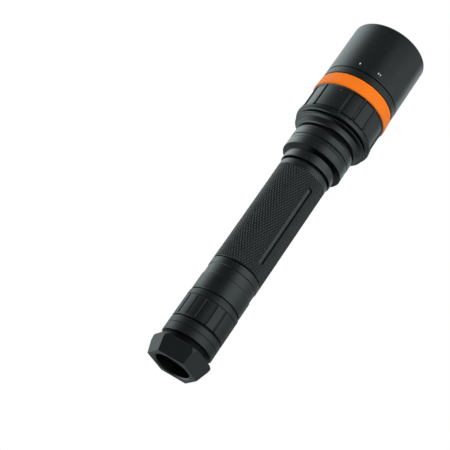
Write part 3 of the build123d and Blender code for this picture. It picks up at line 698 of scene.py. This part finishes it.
def tube_mod(F, R, Z, W):
    # tail thread: a right-hand helix cut into the plain thread land
    th = (Z > 25.25) & (Z < 32.55) & (R > 11.2)
    x = (Z - 25.4) - F / TAU
    frac = np.abs(x - np.round(x))
    crest = np.clip((0.5 - frac - 0.08) / 0.30, 0, 1)
    fade = np.clip((Z - 25.25) / 0.5, 0, 1) * np.clip((32.55 - Z) / 0.4, 0, 1)
    R = np.where(th, 11.93 - 0.53 * (1 - crest) * fade, R)
    # rubbed thread crests; painted shade in the thread roots
    W = np.where(th, np.where(crest > 0.9, 0.5, -0.4), W)
    # diamond knurl
    kn = (Z > KZ0 - 1e-6) & (Z < KZ1 + 1e-6) & (R > 12.9)
    u = KN * F / TAU + (Z - KZ0) / KP
    v = KN * F / TAU - (Z - KZ0) / KP
    gu = np.clip(1 - np.abs(u - np.round(u)) / 0.375, 0, 1)
    gv = np.clip(1 - np.abs(v - np.round(v)) / 0.375, 0, 1)
    amp = np.clip((Z - KZ0) / 0.45, 0, 1) * np.clip((KZ1 - Z) / 0.45, 0, 1)
    g = np.maximum(0.86 * gu, gv)
    knr = TUBE_R + 0.03 - KD * g * amp
    # flat-floored flutes: the rim is the column 6 degrees out and the end rows, the next ones in are the foot of the wall
    for c in FLUTE_PHI:
        off = np.degrees((F - radians(c) + pi) % TAU - pi)
        band = kn & (np.abs(off) < 6.1) & (Z > FZ0 - 0.01) & (Z < FZ1 + 0.01)
        atrim = band & ((np.abs(off) > 5.6) | (Z < FZ0 + 0.01) | (Z > FZ1 - 0.01))
        foot = band & ~atrim
        Zf = np.where(foot & (Z > FZ1 - KP / 8 - 0.01), FZ1 - 0.02, np.where(foot & (Z < FZ0 + KP / 8 + 0.01), FZ0 + 0.02, Z))
        over = np.clip(np.maximum(Zf - (FZ1 - FL_C), (FZ0 + FL_C) - Zf), 0, FL_C)
        hw = FL_HALF - FL_C + np.sqrt(np.clip(FL_C ** 2 - over ** 2, 0, None))
        xr_ = np.clip(off / 6.0, -1, 1) * hw
        xf = np.clip(off / 5.25, -1, 1) * (hw - 0.02)
        F = np.where(atrim, radians(c) + np.arcsin(xr_ / TUBE_R), np.where(foot, radians(c) + np.arctan2(xf, FL_FLOOR), F))
        Z = np.where(foot, Zf, Z)
        knr = np.where(atrim, TUBE_R - 0.02, np.where(foot, np.hypot(xf, FL_FLOOR), knr))
        # painted highlight on the flute's rim and floor; painted shade along the foot of its right-hand wall
        W = np.where(atrim, 0.9, np.where(foot, np.where(off > 5.0, -0.6, 0.8), W))
        g = np.where(band, -1.0, g)
    # rubbed knurl crests; painted shade in the knurl groove bottoms
    W = np.where(kn & (g >= 0), np.where(g < 0.01, 0.45, np.where(g > 0.95, -0.35, 0.0)), W)
    R = np.where(kn, knr, R)
    return F, R, Z, W


knurl_rows = [(TUBE_R, z) for z in np.arange(KZ0, KZ1 + 1e-6, KP / 8)][::1]
if KZ1 - knurl_rows[-1][1] > 0.05:
    knurl_rows.append((TUBE_R, KZ1))
thread_rows = [(11.93, z) for z in np.arange(25.25, 32.56, 0.1)]
# painted shade: the -1 entries darken the grooves at the shoulder and below the knurl
tube_outline = ([(9.5, 25.0), (11.2, 25.0), (11.4, 25.2)] + thread_rows + [
    (11.93, 32.9), (11.0, 32.9), (11.0, 34.4), (11.93, 34.4), (11.93, 35.2), (12.2, 36.0, 0.0, -1), (12.78, 36.1, 0.05), (TUBE_R, 36.38, 0.12),
    (TUBE_R, 45.22, 0.15), (12.75, 45.52, 0.15), (12.75, 50.6, 0.15), (TUBE_R, 50.82, 0.12), (TUBE_R, 54.2, 0.06), (12.6, 54.28, 0.0, -1), (12.6, 54.86, 0.0, -1)] + knurl_rows + [
    (TUBE_R, 113.55), (TUBE_R, 113.8), (TUBE_R, 116.3, 0.15), (11.4, 116.3), (11.4, 117.75), (11.93, 117.75), (11.93, 157.2), (11.6, 157.5), (9.5, 157.5)])
tube = turned("body_tube_knurled", tube_outline, tube_phi, tube_mod, sharp=24, merge=0)
put(tube, "light", M["tube"], "body_tube", slot="black_anodised")


# ---------------------------------------------------------------------------
# tail cap: fluted grip, bands, deep groove, six-sided crown
# ---------------------------------------------------------------------------
def cap_phis():
    s = set()
    for k in range(16):
        a = 3.6 + 22.5 * k
        for off in (0, 0.5, 1.0, 1.5, 2.0, 2.4, 2.7, 2.85, 3.05, 3.4, 4.5, 6.5, 8.5, 10.0):
            s.add(round((a + off) % 360, 4))
            s.add(round((a - off) % 360, 4))
        s.add(round((a + 11.25) % 360, 4))
    for k in range(6):
        a = 13.0 + 60 * k
        for off in (0, 0.4, 1, 2, 3, 4, 5, 6, 7, 7.5, 8, 8.5, 9, 10):
            s.add(round((a + off) % 360, 4))
            s.add(round((a - off) % 360, 4))
    v = sorted(s)
    out = [v[0]]
    for x in v[1:]:
        if x - out[-1] > 0.12:
            out.append(x)
    return np.radians(np.array(out))


SLOPE, MEET = 0.29, 6.2


def cap_mod(F, R, Z, W):
    deg = np.degrees(F)
    # grip flutes, round-nosed
    hw, dep = 0.65, 0.45
    rc_ = (hw ** 2 + dep ** 2) / (2 * dep)
    outer = R > 12.6
    fl = outer & (Z > 20.5) & (Z < 31.95)
    for k in range(16):
        a = 3.6 + 22.5 * k
        d = (deg - a + 180) % 360 - 180
        s = np.radians(d) * CAP_R
        zc = np.clip(Z, 20.7 + hw, 31.85 - hw)
        w = Z - zc
        dist = np.hypot(s, w)
        q = rc_ ** 2 - dist ** 2
        cut = fl & (dist < hw) & (np.abs(d) < 5)
        rf = CAP_R - dep + rc_ - np.sqrt(np.clip(q, 0, None))
        R = np.where(cut, np.minimum(R, rf), R)
        # rubbed flute edges; painted shade inside the flutes
        W = np.where(cut & (dist > hw - 0.16), 0.9, np.where(cut, -0.3, W))
    # crown facets
    crown = outer & (Z < 10.0)
    for k in range(6):
        c = 43.0 + 60 * k
        d = np.radians((deg - c + 180) % 360 - 180)
        near = np.abs(d) < radians(31)
        dd = CROWN_R * cos(radians(30)) + SLOPE * (Z - MEET)
        lim = dd / np.cos(np.clip(d, -0.6, 0.6))
        hit = crown & near & (lim < R)
        R = np.where(hit, lim, R)
        W = np.where(hit & (np.abs(d) > radians(29.5)), 0.9, W)
        W = np.where(crown & near & (np.abs(lim - CROWN_R) < 0.03) & (Z > 6.1), 0.8, W)
    return F, R, Z, W


# painted shade: the -1 entries darken the deep groove above the crown and the narrow groove between the bands
cap_outline = [
    (9.6, 0.0, 0.15), (15.2, 0.0, 0.0), (15.2, 0.12), (15.2, 0.5), (15.2, 2.0), (15.2, 4.0), (15.2, 5.5), (15.2, 5.9), (15.2, 6.2), (15.2, 6.5), (15.2, 6.9),
    (15.2, 7.3), (15.2, 7.7), (15.2, 8.1), (15.2, 8.4, 0.1), (14.8, 8.7, 0.12), (12.0, 8.7, 0.15, -1), (12.0, 12.0, 0.12, -1), (13.05, 12.0, 0.1), (13.3, 12.25, 0.1),
    (13.3, 15.88, 0.08), (13.02, 15.98), (13.02, 16.2), (13.3, 16.3, 0.08), (13.3, 19.38, 0.1), (13.05, 19.6, 0.08), (12.72, 19.6, 0.0, -1), (12.72, 20.5, 0.0, -1),
    (13.05, 20.5, 0.08), (13.3, 20.72, 0.08), (13.3, 31.82, 0.06), (13.0, 31.9), (13.0, 32.15), (13.3, 32.24, 0.06), (13.3, 34.85, 0.12),
    (13.0, 35.1, 0.08), (12.35, 35.1), (12.25, 34.9), (12.25, 31.9), (12.0, 31.6), (12.0, 20.0), (10.65, 20.0), (10.65, 9.2), (8.1, 9.2, 0.1),
    (8.1, 8.0, 0.1), (9.0, 8.0), (9.0, 0.6, 0.1)]
cap = turned("tail_cap_body", cap_outline, cap_phis(), cap_mod, extra=[(20.72, 31.9, 0.22, 13.2)], sharp=30)
put(cap, "tail", M["tail"], "tail_cap", slot="black_anodised")


# rubber boot with raised concentric ridges and a dimpled centre
def boot_mod(F, R, Z, W):
    top = (Z < 5.6) & (R < 7.3)
    ridge = 0.11 * np.clip(np.sin(R * TAU / 1.25 + 0.6), 0, 1) * np.clip((R - 1.5) / 0.8, 0, 1) * np.clip((7.1 - R) / 0.6, 0, 1)
    outside = top & (Z < 4.95)
    Z = np.where(outside, Z - ridge, Z)
    W = np.where(outside & (ridge > 0.08), 0.7, W)
    return F, R, Z, W


boot_top = [(7.9, 5.1), (7.72, 4.78), (7.4, 4.58), (7.05, 4.48)] + [(r, 4.36 - 0.12 * (1 - r / 7.0)) for r in np.arange(6.8, 0.15, -0.15)] + [(0.0, 4.24)]
boot = turned("switch_boot_rubber", [(6.9, 10.4), (10.55, 10.4, 0.1), (10.55, 9.25, 0.1), (8.0, 9.25, 0.1), (8.0, 5.4)] + boot_top
              + [(0.0, 5.3), (6.6, 5.7, 0.2), (6.9, 6.2, 0.2)], ring_angles(128), boot_mod, sharp=60)
put(boot, "tail", M["boot"], "switch_boot", slot="boot_rubber")
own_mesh(boot)

# plunger return spring: a closed coil
turns, n_path = 2.7 / 0.85, 200
along = np.concatenate([[0.0], np.linspace(0.0, 1.0, n_path), [1.0]])
wire_r = np.concatenate([[0.0], np.full(n_path, 0.3), [0.0]])
ang = along * turns * TAU
sec = np.arange(14) * TAU / 14
Rc = 2.6 + wire_r[:, None] * np.cos(sec)[None, :]
Zc = 13.55 + 2.7 * along[:, None] + wire_r[:, None] * np.sin(sec)[None, :]
coil = grid_object("plunger_coil", Rc * np.cos(ang)[:, None], Rc * np.sin(ang)[:, None], Zc, 0.0, closed_rows=False, sharp=50)
put(coil, "tail", M["steel"], "plunger_spring")
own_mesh(coil)


# ---------------------------------------------------------------------------
# small marks: a single bar for low, a pair of bars for high, a dot on the ring
# ---------------------------------------------------------------------------
def bar(name, phi, z, w, h, r, material, body, corner=0.25, depth=0.06, proud=0.012):
    """A rounded bar laid on a cylinder of radius r, sunk by depth and standing proud by a hair."""
    nx, ny = 13, 17
    xs = np.linspace(-w / 2, w / 2, nx)
    zs = np.linspace(-h / 2, h / 2, ny)
    X, Zg = np.meshgrid(xs, zs)
    # pull the grid's corners in to round the bar
    cx, cz = w / 2 - corner, h / 2 - corner
    ox, oz = np.abs(X) - cx, np.abs(Zg) - cz
    m = (ox > 0) & (oz > 0)
    L = np.hypot(ox, oz)
    big = np.maximum(ox, oz)
    k = np.where(m & (L > 0), big / np.maximum(L, 1e-9), 1)
    X = np.where(m, np.sign(X) * (cx + ox * k), X)
    Zg = np.where(m, np.sign(Zg) * (cz + oz * k), Zg)
    bm = bmesh.new()
    lay = []
    for rr in (r + proud, r - depth):
        vs = []
        for i in range(ny):
            row = []
            for j in range(nx):
                f = radians(phi) + X[i, j] / r
                row.append(bm.verts.new((rr * sin(f) * MM, -rr * cos(f) * MM, (z + Zg[i, j]) * MM)))
            vs.append(row)
        lay.append(vs)
    top, bot = lay
    for i in range(ny - 1):
        for j in range(nx - 1):
            bm.faces.new((top[i][j], top[i][j + 1], top[i + 1][j + 1], top[i + 1][j]))
            bm.faces.new((bot[i][j], bot[i + 1][j], bot[i + 1][j + 1], bot[i][j + 1]))
    loop = [(0, j) for j in range(nx)] + [(i, nx - 1) for i in range(1, ny)] + [(ny - 1, j) for j in range(nx - 2, -1, -1)] \
        + [(i, 0) for i in range(ny - 2, 0, -1)]
    for a, b in zip(loop, loop[1:] + loop[:1]):
        bm.faces.new((top[a[0]][a[1]], bot[a[0]][a[1]], bot[b[0]][b[1]], top[b[0]][b[1]]))
    bmesh.ops.recalc_face_normals(bm, faces=bm.faces[:])
    me = bpy.data.meshes.new(name)
    bm.to_mesh(me)
    bm.free()
    ob = bpy.data.objects.new(name, me)
    bpy.context.scene.collection.objects.link(ob)
    smooth(ob, 40)
    return put(ob, body, material)


bar("mark_low", -26.5, 175.7, 0.62, 1.15, 20.1, M["mark"], "light", 0.28)
bar("mark_high_a", 3.5, 175.7, 0.5, 1.0, 20.1, M["mark"], "light", 0.24)
bar("mark_high_b", 6.9, 175.7, 0.5, 1.0, 20.1, M["mark"], "light", 0.24)
bar("index_dot", INDEX_PHI, 157.6, 1.0, 1.0, PANEL_R, M["dot"], "selector", 0.5)

# ---------------------------------------------------------------------------
# materials of the CAD nodes that keep their shape
# ---------------------------------------------------------------------------
KEEP = {
    "front_lens": "glass", "led_centering_gasket": "white", "led_board": "pcb_white", "led_board_screws": "steel", "led_wires": "wire",
    "driver_board": "pcb_green", "driver_components": "chip", "hall_sensor": "chip", "driver_retaining_ring": "brass",
    "positive_contact_spring": "gold", "bell_o_ring": "seal", "selector_seal_upper": "seal", "selector_seal_lower": "seal",
    "detent_ball": "steel", "detent_spring": "steel", "thrust_washer": "washer", "head_joint_o_ring": "seal", "front_cell": "cell",
    "rear_cell": "cell", "tail_o_ring": "seal", "selector_magnet": "nickel", "travel_stop_pin": "steel", "tail_contact_spring": "gold",
    "boot_washer": "plastic", "switch_housing": "plastic", "switch_board": "pcb_green", "switch_retaining_ring": "brass",
    "switch_plunger": "white",
}
for n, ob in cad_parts.items():
    if n in KEEP:
        mat = M[KEEP[n]]
        if not ob.data.materials:
            ob.data.materials.append(mat)
        for i in range(len(ob.data.materials)):
            ob.data.materials[i] = mat
    elif not ob.hide_render:
        print("NO MATERIAL FOR", n)

# ---------------------------------------------------------------------------
# stage, light and camera
# ---------------------------------------------------------------------------
def floor_material():
    """Pale matt floor. Seen from underneath it is clear, because the camera looks up at the light from below it."""
    t = Tree("floor_paint")
    n = t.noise(9, 4, 0.5)
    f = t.noise(700, 3, 0.6)
    t.set(Base_Color=t.mix(n, (0.80, 0.80, 0.79), (0.84, 0.84, 0.83)), Roughness=t.math("MULTIPLY_ADD", f, 0.1, 0.62),
          Normal=t.bump(f, 0.00003))
    geo = t.add("ShaderNodeNewGeometry")
    clear = t.add("ShaderNodeBsdfTransparent")
    mixs = t.add("ShaderNodeMixShader")
    seen = t.add("ShaderNodeLightPath")
    glow = t.add("ShaderNodeEmission")
    glow.inputs["Color"].default_value = (0.97, 0.985, 1.0, 1)
    t.link(t.math("MULTIPLY", seen.outputs["Is Camera Ray"], 0.28), glow.inputs["Strength"])
    both_ = t.add("ShaderNodeAddShader")
    t.link(t.bsdf.outputs[0], both_.inputs[0])
    t.link(glow.outputs[0], both_.inputs[1])
    t.link(geo.outputs["Backfacing"], mixs.inputs[0])
    t.link(both_.outputs[0], mixs.inputs[1])
    t.link(clear.outputs[0], mixs.inputs[2])
    t.link(mixs.outputs[0], t.out.inputs["Surface"])
    return t.m


bm = bmesh.new()
bmesh.ops.create_circle(bm, cap_ends=True, segments=96, radius=3.0)
me = bpy.data.meshes.new("floor")
bm.to_mesh(me)
bm.free()
floor = bpy.data.objects.new("floor", me)
floor.data.materials.append(floor_material())
bpy.context.scene.collection.objects.link(floor)
floor.location = (0, 0, -0.0002)
floor.visible_glossy = False

world = bpy.data.worlds.new("studio")
bpy.context.scene.world = world
world.use_nodes = True
wt = world.node_tree
wt.nodes.clear()


def wn(kind, **p):
    n = wt.nodes.new(kind)
    for k, v in p.items():
        setattr(n, k, v)
    return n


def wmath(op, a, b=None, c=None, clamp=False):
    n = wn("ShaderNodeMath", operation=op, use_clamp=clamp)
    for i, v in enumerate((a, b, c)):
        if v is None:
            continue
        if isinstance(v, (int, float)):
            n.inputs[i].default_value = v
        else:
            wt.links.new(v, n.inputs[i])
    return n.outputs[0]


tc = wn("ShaderNodeTexCoord")
sp = wn("ShaderNodeSeparateXYZ")
wt.links.new(tc.outputs["Generated"], sp.inputs[0])
# angle round the beam axis from the -Y side towards +X, as a share of a full turn: 0 in front, 0.5 behind
az = wmath("ARCTAN2", sp.outputs["X"], wmath("MULTIPLY", sp.outputs["Y"], -1.0))
share = wmath("MULTIPLY_ADD", az, 1 / TAU, 0.5)


def wramp(fac, stops):
    n = wn("ShaderNodeValToRGB")
    e = n.color_ramp.elements
    while len(e) > 1:
        e.remove(e[-1])
    for k, (pos, v) in enumerate(stops):
        col = (v, v, v, 1) if isinstance(v, (int, float)) else (*v, 1)
        if k == 0:
            e[0].position, e[0].color = pos, col
        else:
            x = e.new(pos)
            x.color = col
    wt.links.new(fac, n.inputs["Fac"])
    return n.outputs["Color"]


# share = 0.5 + az/360: 0.5 is the camera side, 0 and 1 are behind. The ramps hold a third of the radiance.
A = lambda deg: 0.5 + deg / 360.0
HIGH = [(-180, 0.5), (-165, 0.9), (-144, 1.2), (-122, 1.65), (-104, 1.58), (-91, 1.12), (-80, 0.68), (-70, 0.42), (-58, 0.28), (-35, 0.24), (0, 0.07),
        (30, 0.04), (45, 0.14), (60, 0.4), (80, 0.56), (97, 0.44), (108, 0.28), (120, 0.5), (135, 1.0), (150, 0.7), (165, 0.4), (180, 0.5)]
LOW = [(-180, 0.5), (-165, 0.9), (-144, 1.5), (-125, 2.6), (-108, 2.6), (-91, 1.5), (-80, 0.72), (-68, 0.34), (-52, 0.24), (-26, 0.24), (-10, 0.5),
       (4, 1.4), (16, 2.2), (40, 2.3), (54, 2.0), (68, 1.3), (84, 0.92), (105, 0.65), (125, 0.5), (139, 0.75), (150, 0.6), (165, 0.35), (180, 0.5)]


def band_of(points):
    return wramp(share, [(A(d), v / 3) for d, v in points])


el = wmath("MULTIPLY_ADD", sp.outputs["Z"], 0.5, 0.5)
lean = wramp(el, [(0.744, 0.0), (0.761, 1.0)])
both = wn("ShaderNodeMix", data_type="RGBA")
wt.links.new(lean, both.inputs[0])
wt.links.new(band_of(LOW), both.inputs[6])
wt.links.new(band_of(HIGH), both.inputs[7])
# the ground straight below is dark, and lighter towards the sides, more so on the -X side
side = wmath("ADD", wmath("MULTIPLY", wmath("MAXIMUM", wmath("MULTIPLY", sp.outputs["X"], -1.0), 0.0), 0.65),
             wmath("MULTIPLY", wmath("MAXIMUM", sp.outputs["X"], 0.0), 0.08))
low_part = wramp(wmath("ADD", el, side), [(0.0, 0.0), (0.12, 0.0), (0.185, 0.12), (0.225, 0.5), (0.265, 0.95), (0.31, 1.0), (1.0, 1.0)])
# a little less light from level with the object, and little from straight above
level = wramp(el, [(0.0, 1.0), (0.28, 1.0), (0.36, 0.85), (0.42, 0.5), (0.56, 0.5), (0.65, 0.4), (0.68, 0.5), (0.695, 0.85), (0.706, 1.0), (0.88, 1.0), (0.94, 0.3), (1.0, 0.25)])
both_parts = wn("ShaderNodeMix", data_type="RGBA", blend_type="MULTIPLY")
both_parts.inputs[0].default_value = 1.0
wt.links.new(low_part, both_parts.inputs[6])
wt.links.new(level, both_parts.inputs[7])
up = both_parts.outputs[2]
mul = wn("ShaderNodeMix", data_type="RGBA", blend_type="MULTIPLY")
mul.inputs[0].default_value = 1.0
wt.links.new(both.outputs[2], mul.inputs[6])
wt.links.new(up, mul.inputs[7])
tint = wn("ShaderNodeMix", data_type="RGBA", blend_type="MULTIPLY")
tint.inputs[0].default_value = 1.0
wt.links.new(mul.outputs[2], tint.inputs[6])
tint.inputs[7].default_value = (0.87, 1.0, 1.015, 1)
bg_light = wn("ShaderNodeBackground")
bg_light.inputs["Strength"].default_value = 3.0
wt.links.new(tint.outputs[2], bg_light.inputs["Color"])
bg_seen = wn("ShaderNodeBackground")
bg_seen.inputs["Color"].default_value = (1, 1, 1, 1)
bg_seen.inputs["Strength"].default_value = 1.0
lp = wn("ShaderNodeLightPath")
mixw = wn("ShaderNodeMixShader")
wt.links.new(lp.outputs["Is Camera Ray"], mixw.inputs[0])
wt.links.new(bg_light.outputs[0], mixw.inputs[1])
wt.links.new(bg_seen.outputs[0], mixw.inputs[2])
wo = wn("ShaderNodeOutputWorld")
wt.links.new(mixw.outputs[0], wo.inputs["Surface"])


def area(name, loc, target, size, power, col=(1, 1, 1), size_y=None, glossy=False):
    d = bpy.data.lights.new(name, "AREA")
    d.energy = power
    d.color = col
    d.shape = "RECTANGLE"
    d.size = size
    d.size_y = size_y or size
    o = bpy.data.objects.new(name, d)
    bpy.context.scene.collection.objects.link(o)
    o.location = loc
    o.rotation_mode = "QUATERNION"
    o.rotation_quaternion = (Vector(target) - Vector(loc)).to_track_quat("-Z", "Y")
    o.visible_glossy = glossy
    return o


# broad soft boxes: they only light the matt colour, and the world gives the sheen
area("key", (-0.35, -0.95, 0.75), (0, 0, 0.11), 0.7, 7.2, (1.0, 1.0, 0.99), 0.7)
area("fill_right", (0.95, -0.45, 0.45), (0, 0, 0.11), 0.6, 3.0, (0.98, 0.99, 1.0), 0.9)
area("back", (0.2, 1.1, 0.7), (0, 0, 0.1), 0.8, 6.0, (1, 1, 1), 0.8)

# camera at the photograph's viewing angle
cam_data = bpy.data.cameras.new("camera")
cam_data.sensor_width = 36.0
cam_data.lens = 101.78
cam_data.clip_start, cam_data.clip_end = 0.05, 20.0
cam = bpy.data.objects.new("camera", cam_data)
bpy.context.scene.collection.objects.link(cam)
C = Vector((-0.017284, -0.547523, -0.167148))
xr = Vector((0.99987, -0.00645, 0.01479))
yr = Vector((-0.01613, -0.39953, 0.91658))
right = (0.8251 * xr + 0.5650 * yr).normalized()
up_v = (-0.5650 * xr + 0.8251 * yr).normalized()
back = right.cross(up_v).normalized()
up_v = back.cross(right).normalized()
rot = Matrix((right, up_v, back)).transposed()
cam.matrix_world = Matrix.Translation(C) @ rot.to_4x4()
bpy.context.scene.camera = cam
bpy.context.scene.view_settings.view_transform = "Standard"
bpy.context.scene.view_settings.look = "None"
